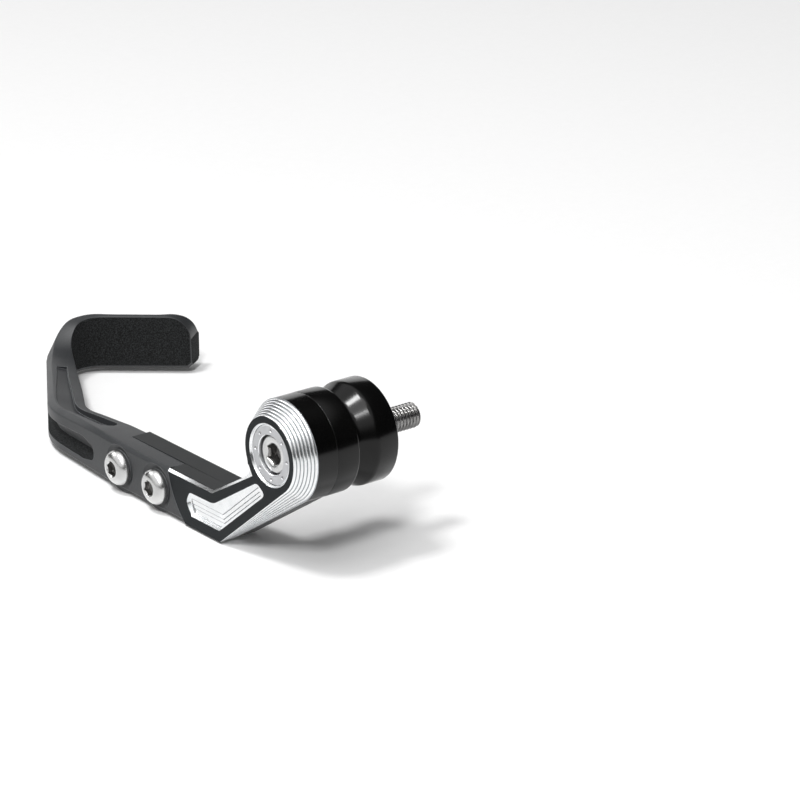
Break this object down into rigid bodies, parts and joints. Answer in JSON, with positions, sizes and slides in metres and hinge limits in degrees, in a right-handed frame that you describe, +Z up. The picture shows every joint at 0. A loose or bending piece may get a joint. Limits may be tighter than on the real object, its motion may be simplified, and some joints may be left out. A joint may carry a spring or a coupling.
{
  "type": "brake lever guard",
  "caption": "Handlebar-end lever guard: a hooked blade in front of the lever, screwed to a vee arm whose round hub bolts into the bar's end.",
  "frame": {"origin": "on the hub's axis, at the flush rear face that seats on the handlebar's end", "axes": "+X along the centre bolt into the bar, +Y forward to the lever, +Z up"},
  "size_m": [0.0881, 0.1963, 0.0534],
  "materials": {
    "moulded_black": "glass-filled black plastic, fine sand texture on the inner faces",
    "anodised_black": "satin black anodised aluminium with bare machined bevels",
    "anodised_gloss": "glossy black anodised aluminium",
    "bare_aluminium": "satin turned aluminium",
    "bolt_steel": "bright zinc-plated steel"
  },
  "bodies": {
    "root": {"guard_blade": "moulded_black", "arm_bracket": "anodised_black", "grooved_spacer": "anodised_gloss", "inner_sleeve": "bare_aluminium", "cap_ring": "bare_aluminium", "centre_bolt": "bolt_steel", "guard_screw_front": "bolt_steel", "guard_screw_rear": "bolt_steel"}
  },
  "joints": []
}
